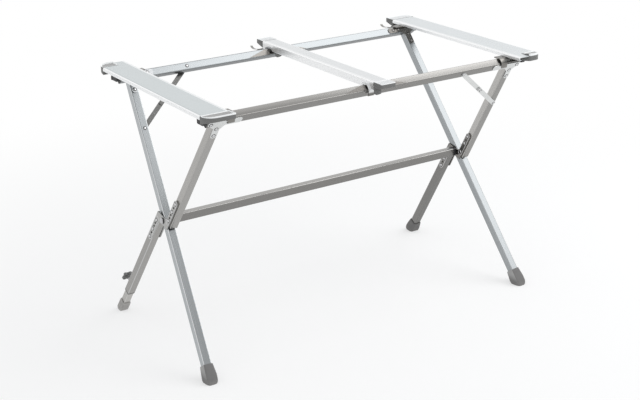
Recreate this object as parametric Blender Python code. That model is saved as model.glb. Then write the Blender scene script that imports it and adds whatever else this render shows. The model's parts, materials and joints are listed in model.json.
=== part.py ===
"""Folding camp table frame: two long rails on crossed square-tube legs, three loose cross members,
one stretcher between the leg crossings and one height-adjustable foot. Metres, Z up, X along the rails."""
import bpy
import bmesh
import math
from mathutils import Vector

for old in list(bpy.data.objects):
    bpy.data.objects.remove(old, do_unlink=True)

# Overall frame
RAIL_Y = 0.236          # rail centre lines, either side of the middle
RAIL_Z = 0.670          # rail centre height
RAIL_HALF = 0.482       # half the rail length
HUB_Z = 0.3485          # height of the leg crossing
HUB_X = RAIL_HALF - 0.0015   # leg crossing, either side of the middle
SPLAY = math.tan(math.radians(5.018))   # outward lean of every leg, per unit of height
LEG_STEP = 0.025        # each half leg runs this far beside the crossing point
REAR_FOOT_Y = 0.262     # where the lower half legs meet the floor
GAP = 0.0003            # air between pieces that touch

# Square tube
TUBE = 0.022
TUBE_R = 0.0025
WALL = 0.0015
HALF = TUBE / 2
PLUG_TONGUE = 0.012     # rail plug inside the rail
PLUG_EDGE = 0.0012      # edge bevel of a rail plug

# Hub
PLATE_T = 0.0020        # hub plate sheet
HUB_CLEAR = 0.0020      # air between a hub plate and the turning leg
LOBE_LEN = 0.100        # hub plate reach along each half leg
LOBE_MID = 0.022        # lobe centre line from the hub centre
LOBE_R = 0.008
LOBE_SPOTS = (0.024, 0.060, 0.090)
PAD_TRIM = 0.0004       # the pad under a lobe is this much smaller than the lobe
WAIST = 0.012           # half width of the hub plate between its lobes
PIN_R = 0.004
PIN_HOLE_R = 0.0045
PIN_HEAD_R = 0.0085
PIN_HEAD_T = 0.0028
HEAD_CLEAR = 0.0014     # air under the pin head
END_CUT = 0.0078        # half legs stop this far from the square through the crossing
STRETCH_PLUG = 0.010    # visible length of a stretcher plug
STRETCH_TONGUE = 0.018
STRETCH_CLEAR = 0.0016  # air between a stretcher plug and its hub plate
WELL = 0.008            # depth of the hollow a pin ends in

# Corner plates, braces and rivets
SHEET = 0.0018
CORNER_W = 0.016
CORNER_OUT = RAIL_HALF - 0.002
CORNER_IN = CORNER_OUT - 0.092
CORNER_DOWN = 0.050
CORNER_RIVETS = (0.018, 0.041)
CORNER_LAST = CORNER_OUT - 0.008     # last rivet along the rail
CORNER_NEAR = CORNER_IN + 0.017      # first rivets along the rail
CORNER_NEXT = CORNER_IN + 0.037
RIVET_R = 0.0032
RIVET_H = 0.0012
RIVET_SINK = 0.0006
BRACE_W = 0.013
BRACE_T = 0.0015
BRACE_RAIL_X = RAIL_HALF - 0.196
BRACE_LEG_T = 0.150
BRACE_FOLD = 13 / 25    # where along the brace the two links overlap
BRACE_LAP = 0.013
BRACE_RIVET_R = 0.0026
SPACER_R = 0.0055

# Feet
FOOT_TOP = 0.046
FOOT_WALL_HALF = 0.0136
FOOT_WIDE_HALF = 0.0163
FOOT_POCKET = 0.014     # pocket floor above the ground, along the leg
FOOT_R = 0.003

# Adjustable foot
ADJ_TUBE = 0.0182       # inner tube
ADJ_WALL = 0.0012
ADJ_R = 0.0012
ADJ_OUT = 0.090         # outer leg ends this far from the floor, along the leg
ADJ_IN = 0.150          # inner tube reaches this far up inside
ADJ_CAP = 0.026
ADJ_CAP_WALL = 0.0028
COLLAR_T = 0.005
COLLAR_CLEAR = 0.0005
KNOB_UP = 0.022         # knob axis above the end of the outer leg
KNOB_OUT = 0.019        # knob face from the leg
KNOB_R = 0.016
KNOB_CORE = 0.0068      # knob radius between its four lobes
KNOB_T = 0.009
KNOB_EDGE = 0.0018
SCREW_R = 0.0028
SCREW_HOLE = 0.0005     # clearance round the screw
BOSS_R = 0.0065
BOSS_T = 0.005

# Cross members
BAR_TOP = RAIL_Z + 0.028
BAR_X = RAIL_HALF - 0.009   # centre of the outer members
BAR_W = 0.078
LIP = 0.010
LIP_IN = 0.007          # width of the turned-in lip foot
LIP_T = 0.0016
BAR_WALL = 0.0022
BAR_EDGE = 0.0035
BAR_HALF_Y = RAIL_Y + 0.032
BAR_LONG_Y = BAR_HALF_Y + 0.031   # the inner strip of an outer member runs on beside the narrow cap
MID_W = 0.045
MID_H = 0.0205
MID_WALL = 0.0018
MID_EDGE = 0.0016

# Moulded end caps
CAP_END_Y = BAR_LONG_Y + 0.004
CAP_H = 0.021
CAP_RISE = 0.008        # the underside climbs this much towards the tip
CAP_PROUD = 0.0006      # cap stands this much above the member
CAP_CORNER = 0.028
CAP_SMALL = 0.004
CAP_EDGE = 0.0013
CAP_NARROW = 0.045      # width of the narrow caps

# Clips over the rails
CLIP_IN = 0.0160        # bend radius round a rail, inside
CLIP_T = 0.0023
CLIP_SEAT = 0.0147      # underside above the rail centre
CLIP_TOP = 0.0177
CLIP_FLAT = 0.014       # flat seat past the rail centre
CLIP_REACH = 0.022      # clip beyond the inner edge of an outer member
CLIP_END_X = RAIL_HALF + 0.015
STOP_CLEAR = 0.004      # stop block past the end of a rail
STOP_IN = 0.0012        # and this far inside the end of its clip
STOP_DOWN = 0.004
STOP_R = 0.003
HOOK_BACK = 0.003       # hook clear of the member's edge
MID_CLIP = 0.026
MID_HOOK = 0.018
RAIL_EXIT = 0.018       # opening that lets the rear rail leave the middle member
NOTCH_HALF = 0.030      # cutters reach past the middle member's sides
NOTCH_LOW = 0.020
EXIT_HIGH = 0.0125
CLAW_W = 0.006          # claws under the middle member
CLAW_LEN = 0.023
CLAW_DEEP = 0.0105
CLAW_R = 0.0035
CLAW_PAST = 0.033       # from the rail centre to a claw

SILVER = ((0.78, 0.80, 0.82, 1), 0.34, 0.9)
SHEET_METAL = ((0.74, 0.75, 0.76, 1), 0.28, 1.0)
STEEL = ((0.55, 0.56, 0.57, 1), 0.3, 1.0)
GREY = ((0.23, 0.24, 0.25, 1), 0.6, 0.0)
BLACK = ((0.03, 0.03, 0.032, 1), 0.5, 0.0)
RUBBER = ((0.20, 0.205, 0.21, 1), 0.8, 0.0)

X = Vector((1, 0, 0))
Y = Vector((0, 1, 0))
Z = Vector((0, 0, 1))

# Directions in the side view
HUB_DROP = RAIL_Z - HUB_Z
A_LONG = math.atan2(RAIL_Y, HUB_DROP)
A_UPPER = A_LONG - math.asin(LEG_STEP / math.hypot(RAIL_Y, HUB_DROP))
A_LOWER = math.atan2(REAR_FOOT_Y, HUB_Z) - math.asin(LEG_STEP / math.hypot(REAR_FOOT_Y, HUB_Z))
N_UPPER = Vector((0, -math.cos(A_UPPER), -math.sin(A_UPPER)))
N_LOWER = Vector((0, -math.cos(A_LOWER), -math.sin(A_LOWER)))
N_LONG = Vector((0, -math.cos(A_LONG), math.sin(A_LONG)))
D_UPPER = Vector((0, math.sin(A_UPPER), -math.cos(A_UPPER)))
D_LOWER = Vector((0, math.sin(A_LOWER), -math.cos(A_LOWER)))
D_LONG = Vector((0, -math.sin(A_LONG), -math.cos(A_LONG)))
FRONT = Vector((0, -RAIL_Y, RAIL_Z))
REAR = Vector((0, RAIL_Y, RAIL_Z))
HUB = Vector((0, 0, HUB_Z))
HUB_OUT = HALF + HUB_CLEAR + PLATE_T            # outside of a hub plate from the hub centre
PLUG_FACE = HUB_X - HUB_OUT - STRETCH_CLEAR
STRETCH_HALF = PLUG_FACE - STRETCH_PLUG - GAP
LEG_TOP_X = HUB_X - SPLAY * HUB_DROP            # leg centre line at the rail
PLATE_FACE = HALF + GAP + SHEET                 # outer face of a corner plate from the rail centre
SIDES = ((-1, "left"), (1, "right"))


def material(name, look):
    colour, rough, metal = look
    mat = bpy.data.materials.new(name)
    mat.use_nodes = True
    node = mat.node_tree.nodes["Principled BSDF"]
    node.inputs["Base Color"].default_value = colour
    node.inputs["Roughness"].default_value = rough
    node.inputs["Metallic"].default_value = metal
    return mat


def add(name, bm, look, origin=(0, 0, 0), cutter=False):
    """Make an object from a bmesh given in world coordinates, with its origin where asked."""
    bmesh.ops.remove_doubles(bm, verts=bm.verts, dist=1e-7)
    bmesh.ops.recalc_face_normals(bm, faces=bm.faces)
    bmesh.ops.translate(bm, verts=bm.verts, vec=-Vector(origin))
    mesh = bpy.data.meshes.new(name)
    bm.to_mesh(mesh)
    bm.free()
    mesh.shade_smooth()
    mesh.set_sharp_from_angle(angle=math.radians(35))
    obj = bpy.data.objects.new(name, mesh)
    obj.location = origin
    bpy.context.scene.collection.objects.link(obj)
    if cutter:
        obj.hide_render = True
        obj.display_type = "WIRE"
    else:
        mesh.materials.append(material(name, look))
    return obj


def boolean(obj, tool, how):
    mod = obj.modifiers.new(tool.name, "BOOLEAN")
    mod.object = tool
    mod.operation = how
    mod.solver = "EXACT"


def flat_faces(bm):
    """Split the faces that are not flat."""
    bent = []
    for face in bm.faces:
        if len(face.verts) > 3:
            face.normal_update()
            spread = max(abs((v.co - face.verts[0].co).dot(face.normal)) for v in face.verts)
            if spread > 1e-7:
                bent.append(face)
    if bent:
        bmesh.ops.triangulate(bm, faces=bent)


def rounded(half_a, half_b, radius, steps=3):
    """Outline of a rounded rectangle."""
    pts = []
    for ca, cb, start in ((1, 1, 0), (-1, 1, 90), (-1, -1, 180), (1, -1, 270)):
        for i in range(steps + 1):
            t = math.radians(start + 90 * i / steps)
            pts.append((ca * (half_a - radius) + radius * math.cos(t),
                        cb * (half_b - radius) + radius * math.sin(t)))
    return pts


def circle(radius, steps=24):
    turn = 2 * math.pi / steps
    return [(radius * math.cos(turn * i), radius * math.sin(turn * i)) for i in range(steps)]


def fillet(pts, radii, steps=4):
    """Round the corners of an outline; a zero radius keeps a corner."""
    out = []
    count = len(pts)
    for i, (p, r) in enumerate(zip(pts, radii)):
        if r <= 0:
            out.append(tuple(p))
            continue
        here = Vector(p)
        back = (Vector(pts[i - 1]) - here).normalized()
        ahead = (Vector(pts[(i + 1) % count]) - here).normalized()
        half = back.angle(ahead) / 2
        reach = r / math.tan(half)
        centre = here + (back + ahead).normalized() * (r / math.sin(half))
        first = here + back * reach - centre
        last = here + ahead * reach - centre
        turn = math.atan2(first.x * last.y - first.y * last.x, first.dot(last))
        for k in range(steps + 1):
            t = turn * k / steps
            out.append((centre.x + first.x * math.cos(t) - first.y * math.sin(t),
                        centre.y + first.x * math.sin(t) + first.y * math.cos(t)))
    return out


def skin(bm, rings, first=True, last=True):
    """Skin a run of rings of equal count; close either end with a flat face. Gives the end rings back."""
    rows = [[bm.verts.new(p) for p in ring] for ring in rings]
    count = len(rows[0])
    for low, high in zip(rows, rows[1:]):
        for i in range(count):
            j = (i + 1) % count
            bm.faces.new((low[i], low[j], high[j], high[i]))
    if first:
        bm.faces.new(rows[0])
    if last:
        bm.faces.new(rows[-1])
    return rows


def join_rings(bm, one, two):
    """Close the rim between two rings of vertices."""
    for i, v in enumerate(one):
        j = (i + 1) % len(one)
        bm.faces.new((v, one[j], two[j], two[i]))


def section(frame, pts, plane_point, plane_normal):
    """Ring of a prism whose axis and cross directions are in frame, cut by a plane."""
    at, along, a_dir, b_dir = frame
    ring = []
    for a, b in pts:
        start = at + a * a_dir + b * b_dir
        t = (plane_point - start).dot(plane_normal) / along.dot(plane_normal)
        ring.append(start + t * along)
    return ring


def hollow(frame, outer, inner, cuts):
    """Open tube between two cutting planes."""
    bm = bmesh.new()
    out = skin(bm, [section(frame, outer, *cut) for cut in cuts], first=False, last=False)
    inn = skin(bm, [section(frame, inner, *cut) for cut in cuts], first=False, last=False)
    join_rings(bm, out[0], inn[0])
    join_rings(bm, out[1], inn[1])
    return bm


def prism(outline, origin, a_dir, b_dir, depth_dir, low, high):
    """Solid with a flat outline in the a/b plane, extruded from low to high along depth_dir."""
    bm = bmesh.new()
    face = bm.faces.new([bm.verts.new(origin + a * a_dir + b * b_dir + low * depth_dir) for a, b in outline])
    new = bmesh.ops.extrude_face_region(bm, geom=[face], use_keep_orig=True)["geom"]
    ends = [v for v in new if isinstance(v, bmesh.types.BMVert)]
    bmesh.ops.translate(bm, verts=ends, vec=depth_dir * (high - low))
    return bm


def cross_dirs(axis):
    side = axis.orthogonal().normalized()
    return side, axis.cross(side)


def cylinder(centre, axis, radius, low, high):
    axis = axis.normalized()
    side, other = cross_dirs(axis)
    return prism(circle(radius), centre, side, other, axis, low, high)


def turned(centre, axis, profile, steps):
    """Rings of a turned shape: radius and height pairs about an axis."""
    side, other = cross_dirs(axis.normalized())
    return [[centre + a * side + b * other + h * axis for a, b in circle(r, steps)] for r, h in profile]


def rivet(host, centre, axis, radius=RIVET_R):
    """Low rounded head whose foot sinks into the sheet."""
    bm = bmesh.new()
    shape = ((1, -RIVET_SINK), (1, RIVET_H * 0.35), (0.8, RIVET_H * 0.8), (0.42, RIVET_H))
    skin(bm, turned(centre, axis.normalized(), [(radius * r, h) for r, h in shape], 16))
    boolean(host, add(host.name + ".rivet" + str(len(host.modifiers)), bm, SILVER, cutter=True), "UNION")


def leg_frame(side, point, down, face):
    """Axis point, axis, face direction and outward direction of a leg on one side."""
    along = (down + X * side * SPLAY * abs(down.z)).normalized()
    out = along.cross(face).normalized()
    if out.x * side < 0:
        out = -out
    return (point, along, face, out)


def at_hub(side, offset=Vector()):
    return X * side * HUB_X + HUB + offset


TUBE_OUT = rounded(HALF, HALF, TUBE_R)
TUBE_IN = rounded(HALF - WALL, HALF - WALL, TUBE_R - WALL)
TONGUE = rounded(HALF - WALL - GAP, HALF - WALL - GAP, TUBE_R - WALL)

upper, lower, longleg = {}, {}, {}
for side, word in SIDES:
    upper[word] = leg_frame(side, at_hub(side, N_UPPER * LEG_STEP), D_UPPER, N_UPPER)
    lower[word] = leg_frame(side, at_hub(side, -N_LOWER * LEG_STEP), D_LOWER, N_LOWER)
    longleg[word] = leg_frame(side, at_hub(side), D_LONG, N_LONG)


def floor_point(frame):
    """Where a leg axis meets the floor."""
    return frame[0] + frame[1] * (-frame[0].z / frame[1].z)


def up_leg(frame, distance):
    """Point on a leg axis, this far up from the floor."""
    return floor_point(frame) - frame[1] * distance


def build_rail(name, centre, down, face, origin):
    ends = [(centre - X * RAIL_HALF, X), (centre + X * RAIL_HALF, X)]
    add(name, hollow((centre, X, down, face), TUBE_OUT, TUBE_IN, ends), SILVER, origin)


def build_rail_plug(name, side, centre, down, face, origin):
    """Plastic plug: a thin head outside the rail and a tongue inside it."""
    end = RAIL_HALF + GAP
    small = HALF - PLUG_EDGE / 3
    rim = HALF - PLUG_EDGE * 4 / 3
    head = rounded(small, small, TUBE_R)
    edge = rounded(rim, rim, TUBE_R)
    steps = ((TONGUE, end - PLUG_TONGUE), (TONGUE, end), (head, end), (head, end + PLUG_EDGE),
             (edge, end + PLUG_EDGE + (HALF - rim) / 2))
    bm = bmesh.new()
    skin(bm, [[centre + X * side * x + a * down + b * face for a, b in pts] for pts, x in steps])
    add(name, bm, BLACK, origin)


def build_long_leg(word, side):
    frame = longleg[word]
    cuts = [(REAR + D_LONG * (HALF + GAP), D_LONG), (up_leg(frame, FOOT_POCKET + GAP), frame[1])]
    leg = add("long_leg_" + word, hollow(frame, TUBE_OUT, TUBE_IN, cuts), SILVER, HUB)
    hole = cylinder(at_hub(side), X, PIN_HOLE_R, -TUBE, TUBE)
    boolean(leg, add(leg.name + ".hole", hole, SILVER, cutter=True), "DIFFERENCE")


def build_upper_leg(word):
    frame = upper[word]
    cuts = [(FRONT + D_UPPER * (HALF + GAP), D_UPPER), (frame[0] - frame[1] * END_CUT, frame[1])]
    add("upper_leg_" + word, hollow(frame, TUBE_OUT, TUBE_IN, cuts), SILVER)


def knob_point():
    return up_leg(lower["left"], ADJ_OUT + KNOB_UP)


def build_lower_leg(word):
    frame = lower[word]
    keep = ADJ_OUT if word == "left" else FOOT_POCKET + GAP
    cuts = [(frame[0] + frame[1] * END_CUT, frame[1]), (up_leg(frame, keep), frame[1])]
    leg = add("lower_leg_" + word, hollow(frame, TUBE_OUT, TUBE_IN, cuts), SILVER)
    if word == "left":
        hole = cylinder(knob_point(), -frame[2], SCREW_R + SCREW_HOLE, HALF - 3 * WALL, HALF + WALL)
        boolean(leg, add(leg.name + ".hole", hole, SILVER, cutter=True), "DIFFERENCE")


def build_shoe(name, frame, pocket_half, pocket_r, top_up, upper_half, lower_rings, corner, origin):
    """Moulded foot: a ferrule with a pocket for the tube and a flat sole."""
    ground = floor_point(frame)
    sole = Vector((ground.x, ground.y, 0))
    top = up_leg(frame, top_up)
    small = upper_half - corner / 4
    rings = [section(frame, rounded(small, small, corner), top, frame[1]),
             section(frame, rounded(upper_half, upper_half, corner), top + frame[1] * corner / 2, frame[1])]
    for z, half, r in lower_rings:
        rings.append(section(frame, rounded(half, half, r), sole + Z * z, Z))
    pocket = rounded(pocket_half + GAP, pocket_half + GAP, pocket_r)
    bm = bmesh.new()
    body = skin(bm, rings, first=False)
    well = skin(bm, [section(frame, pocket, top, frame[1]),
                     section(frame, pocket, up_leg(frame, FOOT_POCKET), frame[1])], first=False)
    join_rings(bm, body[0], well[0])
    flat_faces(bm)
    add(name, bm, RUBBER, origin)


def build_foot(name, frame, origin):
    wide = FOOT_WIDE_HALF
    flare = ((0.020, wide - 0.0004, 0.004), (0.010, wide, 0.005), (0.004, wide - 0.0008, 0.006),
             (0.0012, wide - 0.003, 0.007), (0, wide - 0.006, 0.008))
    build_shoe(name, frame, HALF, TUBE_R, FOOT_TOP, FOOT_WALL_HALF, flare, FOOT_R, origin)


def lobe_end(sign, radius):
    """Half circle at the far end of a hub plate lobe."""
    pts = []
    for i in range(9):
        t = math.radians(90 - 180 * i / 8)
        pts.append((sign * (LOBE_LEN - LOBE_R + radius * math.cos(t)), sign * (LOBE_MID + radius * math.sin(t))))
    return pts


def hub_outline():
    """Hub plate outline: a lobe along each half leg and a waist across the crossing."""
    pts = []
    for sign in (1, -1):
        pts.append((-sign * WAIST / 4, sign * (LOBE_MID + LOBE_R)))
        pts += lobe_end(sign, LOBE_R)
        pts += [(sign * 2.1 * WAIST, sign * (LOBE_MID - LOBE_R)), (sign * 1.3 * WAIST, sign * 0.7 * WAIST),
                (sign * WAIST, 0)]
    return pts


def build_hub_plate(word, side, inner):
    """Sheet plate that joins two half legs past the long leg; it stands clear of the long leg."""
    frame = upper[word]
    out = frame[3] * (-1 if inner else 1)
    centre = at_hub(side)
    up = -frame[1]
    face = frame[2]
    low = HALF + HUB_CLEAR
    bm = prism(hub_outline(), centre, up, face, out, low, low + PLATE_T)
    plate = add("hub_plate_" + ("inner_" if inner else "outer_") + word, bm, SHEET_METAL)
    small = LOBE_R - PAD_TRIM
    for sign in (1, -1):
        start = sign * 0.75 * WAIST
        pad = [(start, sign * (LOBE_MID + small))] + lobe_end(sign, small) + [(start, sign * (LOBE_MID - small))]
        solid = prism(pad, centre, up, face, out, HALF + GAP, low + PLATE_T / 2)
        boolean(plate, add(plate.name + ".pad" + str(sign + 1), solid, SHEET_METAL, cutter=True), "UNION")
        for reach in LOBE_SPOTS:
            rivet(plate, centre + up * sign * reach + face * sign * LOBE_MID + out * (low + PLATE_T), out)
    hole = cylinder(centre, X, PIN_HOLE_R, -2 * TUBE, 2 * TUBE)
    boolean(plate, add(plate.name + ".hole", hole, SHEET_METAL, cutter=True), "DIFFERENCE")


def build_hub_pin(word, side):
    """Rivet the long leg turns on: a shank through both plates and a low head outside."""
    head = HUB_OUT + HEAD_CLEAR
    tip = -HUB_OUT - PIN_R
    profile = ((PIN_R * 0.88, tip), (PIN_R, tip + PIN_R / 8), (PIN_R, head), (PIN_HEAD_R, head),
               (PIN_HEAD_R, head + PIN_HEAD_T / 2), (PIN_HEAD_R * 0.75, head + PIN_HEAD_T))
    bm = bmesh.new()
    skin(bm, turned(at_hub(side), X * side, profile, 24))
    add("hub_pin_" + word, bm, STEEL)


def build_stretcher():
    ends = [(HUB - X * STRETCH_HALF, X), (HUB + X * STRETCH_HALF, X)]
    add("stretcher", hollow((HUB, X, Y, Z), TUBE_OUT, TUBE_IN, ends), SILVER)


def build_stretcher_plug(word, side):
    """Dark plug between the stretcher and the inner hub plate, hollow where the hub pin ends."""
    bevel = PLUG_EDGE
    neck = rounded(HALF - bevel, HALF - bevel, TUBE_R)
    ends = ((TONGUE, STRETCH_HALF - STRETCH_TONGUE), (TONGUE, STRETCH_HALF + GAP),
            (TUBE_OUT, STRETCH_HALF + GAP), (TUBE_OUT, PLUG_FACE - 2 * bevel), (neck, PLUG_FACE))
    bore = circle(PIN_HOLE_R, len(neck))

    def ring(pts, x):
        return [HUB + X * side * x + Y * a + Z * b for a, b in pts]
    bm = bmesh.new()
    body = skin(bm, [ring(pts, x) for pts, x in ends], last=False)
    well = skin(bm, [ring(bore, PLUG_FACE), ring(bore, PLUG_FACE - WELL)], first=False)
    join_rings(bm, body[-1], well[0])
    add("stretcher_plug_" + word, bm, BLACK)


def corner_outline(side, lean):
    """Corner plate: an arm along the rail and an arm down the leg."""
    w = CORNER_W / 2
    tip = LEG_TOP_X + lean * CORNER_DOWN
    knee = LEG_TOP_X + lean * 2.5 * w
    pts = [(CORNER_IN, -w), (CORNER_OUT, -w), (CORNER_OUT, w * 0.3), (knee + w, 2 * w), (tip + w, CORNER_DOWN),
           (tip - w, CORNER_DOWN), (knee - w, 2.75 * w), (LEG_TOP_X - 2.5 * w, w), (CORNER_IN, w)]
    radii = (0.75 * w, 0.6 * w, 0.4 * w, 0.4 * w, 0.94 * w, 0.94 * w, w / 2, w / 2, 0.94 * w)
    return [(side * x, t) for x, t in fillet(pts, radii)]


def build_corner(name, side, rail, angle, rail_spots, origin):
    centre, down, face = rail
    lean = SPLAY * math.cos(angle)
    bm = prism(corner_outline(side, lean), centre, X, down, face, HALF + GAP, PLATE_FACE)
    plate = add(name, bm, SHEET_METAL, origin)
    for x, t in [(x, 0) for x in rail_spots] + [(LEG_TOP_X + lean * t, t) for t in CORNER_RIVETS]:
        rivet(plate, centre + X * side * x + down * t + face * PLATE_FACE, face)


def strip_outline(start, end):
    """Flat strip with round ends between two pivot points."""
    along = (end - start).normalized()
    across = Vector((-along.y, along.x))
    pts = []
    for centre, turn in ((end, -90), (start, 90)):
        for i in range(9):
            t = math.radians(turn + 180 * i / 8)
            p = centre + (along * math.cos(t) + across * math.sin(t)) * BRACE_W / 2
            pts.append((p.x, p.y))
    return pts


def build_brace(name, side, rail, angle, origin):
    """Two flat links that lap in the middle; one is riveted to the rail and one to the leg."""
    centre, down, face = rail
    leg_x = LEG_TOP_X + SPLAY * math.cos(angle) * BRACE_LEG_T
    rail_end = Vector((side * BRACE_RAIL_X, 0))
    leg_end = Vector((side * leg_x, BRACE_LEG_T))
    half_lap = (leg_end - rail_end).normalized() * BRACE_LAP / 2
    lap = rail_end.lerp(leg_end, BRACE_FOLD)
    low = HALF + GAP
    over = low + BRACE_T + GAP
    bm = prism(strip_outline(rail_end, lap + half_lap), centre, X, down, face, low, low + BRACE_T)
    first = add(name + "_rail_link", bm, SHEET_METAL, origin)
    rivet(first, centre + X * rail_end.x + face * (low + BRACE_T), face)
    bm = prism(strip_outline(lap - half_lap, leg_end), centre, X, down, face, over, over + BRACE_T)
    second = add(name + "_leg_link", bm, SHEET_METAL, origin)
    foot = centre + X * leg_end.x + down * leg_end.y
    spacer = cylinder(foot, face, SPACER_R, low, over + BRACE_T / 2)
    boolean(second, add(second.name + ".spacer", spacer, SHEET_METAL, cutter=True), "UNION")
    for spot in (leg_end, lap - half_lap, lap + half_lap):
        rivet(second, centre + X * spot.x + down * spot.y + face * (over + BRACE_T), face, BRACE_RIVET_R)


def build_adjuster():
    """Inner tube and its small foot."""
    frame = lower["left"]
    half = ADJ_TUBE / 2
    low = up_leg(frame, FOOT_POCKET + GAP)
    cuts = [(up_leg(frame, ADJ_OUT + ADJ_IN), frame[1]), (low, frame[1])]
    inner = rounded(half - ADJ_WALL, half - ADJ_WALL, ADJ_R / 2)
    add("adjuster_tube", hollow(frame, rounded(half, half, ADJ_R), inner, cuts), SILVER, low)
    wide = half + ADJ_CAP_WALL
    flare = ((0.016, wide + 0.0006, 0.0045), (0.006, wide + 0.0008, 0.006), (0.0015, wide - 0.001, 0.007),
             (0, wide - 0.0035, 0.007))
    build_shoe("adjuster_foot", frame, half, ADJ_R, FOOT_POCKET + ADJ_CAP, wide, flare, FOOT_R, low)


def build_collar():
    """Moulded ring at the end of the outer leg that the inner tube slides through."""
    frame = lower["left"]
    half = ADJ_TUBE / 2
    end = up_leg(frame, ADJ_OUT - GAP)
    tip = end + frame[1] * COLLAR_T
    taper = rounded(half + WALL, half + WALL, TUBE_R)
    bore = rounded(half + COLLAR_CLEAR, half + COLLAR_CLEAR, ADJ_R)
    bm = bmesh.new()
    body = skin(bm, [section(frame, TUBE_OUT, end, frame[1]),
                     section(frame, TUBE_OUT, end + frame[1] * COLLAR_T * 0.4, frame[1]),
                     section(frame, taper, tip, frame[1])], first=False, last=False)
    well = skin(bm, [section(frame, bore, p, frame[1]) for p in (end, tip)], first=False, last=False)
    join_rings(bm, body[0], well[0])
    join_rings(bm, body[-1], well[1])
    add("leg_collar", bm, GREY)


def build_clamp():
    """Threaded boss on the leg, the clamp screw through it and its four-lobed knob."""
    frame = lower["left"]
    spot = knob_point()
    back = -frame[2]
    bm = bmesh.new()
    top = HALF + BOSS_T
    body = skin(bm, turned(spot, back, ((BOSS_R, HALF + GAP), (BOSS_R, top - BOSS_R / 6), (BOSS_R * 0.85, top)), 20),
                first=False, last=False)
    hole = SCREW_R + SCREW_HOLE
    well = skin(bm, turned(spot, back, ((hole, HALF + GAP), (hole, top)), 20), first=False, last=False)
    join_rings(bm, body[0], well[0])
    join_rings(bm, body[-1], well[-1])
    add("clamp_boss", bm, STEEL)

    start = ADJ_TUBE / 2 + GAP
    bm = bmesh.new()
    skin(bm, turned(spot, back, ((SCREW_R * 0.8, start), (SCREW_R, start + SCREW_R * 0.3),
                                 (SCREW_R, HALF + KNOB_OUT - GAP)), 20))
    add("clamp_screw", bm, STEEL, spot)

    def star(scale, height):
        ring = []
        for i in range(64):
            t = 2 * math.pi * i / 64
            r = (KNOB_CORE + (KNOB_R - KNOB_CORE) * abs(math.cos(2 * t)) ** 1.4) * scale
            turn = t + math.pi / 4
            ring.append(spot + back * height + frame[1] * r * math.cos(turn) + frame[3] * r * math.sin(turn))
        return ring
    base = HALF + KNOB_OUT
    bm = bmesh.new()
    skin(bm, [star(0.90, base), star(1, base + KNOB_EDGE), star(1, base + KNOB_T - KNOB_EDGE),
              star(0.86, base + KNOB_T)])
    flat_faces(bm)
    add("star_knob", bm, BLACK, spot)


def bar_profile():
    """Lipped channel, open below."""
    w, t, foot = BAR_W / 2, BAR_WALL, -LIP + LIP_T
    pts = [(-w, -LIP), (-w, 0), (w, 0), (w, -LIP), (w - LIP_IN, -LIP), (w - LIP_IN, foot), (w - t, foot),
           (w - t, -t), (-w + t, -t), (-w + t, foot), (-w + LIP_IN, foot), (-w + LIP_IN, -LIP)]
    return fillet(pts, (LIP_T / 3, BAR_EDGE, BAR_EDGE, LIP_T / 3) + (0,) * 8, steps=3)


def span_box(xs, ys, z_low, z_high):
    """Box between two x values, two y values and two heights."""
    x0, x1 = sorted(xs)
    y0, y1 = sorted(ys)
    return prism([(x0, y0), (x1, y0), (x1, y1), (x0, y1)], Vector(), X, Y, Z, z_low, z_high)


def build_outer_bar(word, side):
    """Outer cross member: cut square at one end and stepped at the end with the narrow cap."""
    top = Vector((side * BAR_X, 0, BAR_TOP))
    ends = sorted((side * BAR_HALF_Y, -side * BAR_LONG_Y))
    bar = add("bar_" + word, prism(bar_profile(), top, X, Z, Y, *ends), SILVER, FRONT)
    edge = side * (BAR_X + BAR_W / 2 - CAP_NARROW)
    far = side * (BAR_X + BAR_W)
    cut = span_box((edge, far), (-side * BAR_HALF_Y, -side * (CAP_END_Y + LIP)), BAR_TOP - 2 * LIP, BAR_TOP + LIP)
    boolean(bar, add(bar.name + ".step", cut, SILVER, cutter=True), "DIFFERENCE")


def clip_arc(radius, first, last, steps):
    pts = []
    for i in range(steps + 1):
        t = math.radians(first + (last - first) * i / steps)
        pts.append((radius * math.cos(t), radius * math.sin(t)))
    return pts


def clip_outline(stop, flip):
    """Bent strip over a rail: a flat seat on top and a hook that ends at the stated angle."""
    out = CLIP_IN + CLIP_T
    a_out = 180 - math.degrees(math.asin(CLIP_TOP / out))
    a_in = 180 - math.degrees(math.asin(CLIP_SEAT / CLIP_IN))
    steps = max(4, int((stop - 90) / 9))
    pts = [(CLIP_FLAT, CLIP_SEAT), (CLIP_FLAT, CLIP_TOP)]
    pts += clip_arc(out, a_out, stop, steps) + clip_arc(CLIP_IN, stop, a_in, steps)
    return [(flip * a, b) for a, b in pts]


def clip_swell(flip):
    """The clip outline filled in and grown, used to notch the middle member."""
    out = CLIP_IN + CLIP_T + GAP
    high = CLIP_TOP + GAP
    first = 180 - math.degrees(math.asin(high / out))
    pts = [(CLIP_FLAT + GAP, -NOTCH_LOW), (CLIP_FLAT + GAP, high)]
    pts += clip_arc(out, first, 180, 8) + [(-out, -NOTCH_LOW)]
    return [(flip * a, b) for a, b in pts]


def build_clip(name, centre, flip, reach, stop, hook=None, hook_stop=0):
    """Clip over a rail, with a longer hook over part of its length."""
    bm = prism(clip_outline(stop, flip), centre, Y, Z, X, min(reach), max(reach))
    clip = add(name, bm, SHEET_METAL, FRONT)
    if hook:
        bm = prism(clip_outline(hook_stop, flip), centre, Y, Z, X, min(hook), max(hook))
        boolean(clip, add(clip.name + ".hook", bm, SHEET_METAL, cutter=True), "UNION")


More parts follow.
